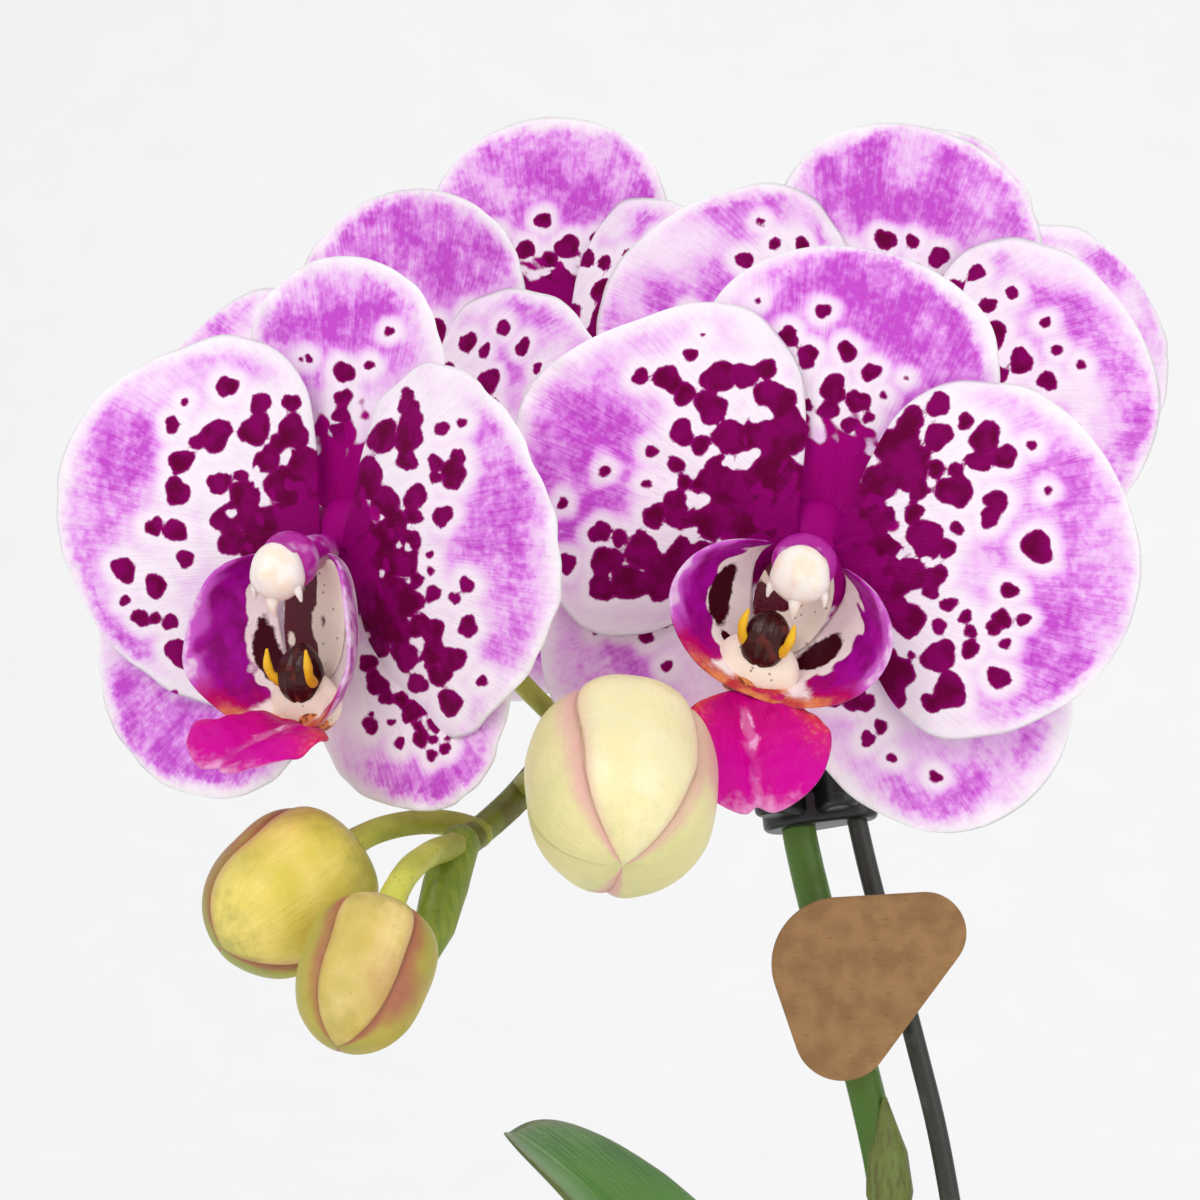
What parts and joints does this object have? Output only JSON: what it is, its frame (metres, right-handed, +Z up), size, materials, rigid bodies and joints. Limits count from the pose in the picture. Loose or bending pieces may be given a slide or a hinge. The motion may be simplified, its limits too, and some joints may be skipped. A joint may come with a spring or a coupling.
{
  "type": "potted moth orchid",
  "caption": "Compact moth orchid in a plain round pot, with thick strap leaves, aerial roots and one staked, arching spray of broad spotted blooms and buds that all face the viewer.",
  "frame": {"origin": "centre of the flat underside of the pot, where it stands", "axes": "+Z up, -Y towards the side that the spray faces, +X to the viewer's right when facing the blooms"},
  "size_m": [0.2471, 0.1988, 0.3449],
  "materials": {
    "pot_glaze": "satin",
    "bark": "matte",
    "root": "matte",
    "leaf": "satin",
    "spike": "satin",
    "black_plastic": "satin",
    "kraft": "matte",
    "bud": "satin",
    "tepal": "satin",
    "lip": "satin",
    "column": "satin"
  },
  "bodies": {
    "root": {"pot": "pot_glaze", "potting_bark": "bark", "crown_and_roots": "root", "leaf_1": "leaf", "leaf_2": "leaf", "leaf_3": "leaf", "leaf_4": "leaf", "leaf_5": "leaf", "flower_spike": "spike", "support_stake": "black_plastic", "stem_clip": "black_plastic", "tag": "kraft", "tag_holder": "black_plastic", "bud_large": "bud", "bud_middle": "bud", "bud_small": "bud", "bloom_1_tepals": "tepal", "bloom_1_lip": "lip", "bloom_1_column": "column", "bloom_2_tepals": "tepal", "bloom_2_lip": "lip", "bloom_2_column": "column", "bloom_3_tepals": "tepal", "bloom_3_lip": "lip", "bloom_3_column": "column", "bloom_4_tepals": "tepal", "bloom_4_lip": "lip", "bloom_4_column": "column", "bloom_5_tepals": "tepal", "bloom_5_lip": "lip", "bloom_5_column": "column", "bloom_6_tepals": "tepal", "bloom_6_lip": "lip", "bloom_6_column": "column"}
  },
  "joints": []
}
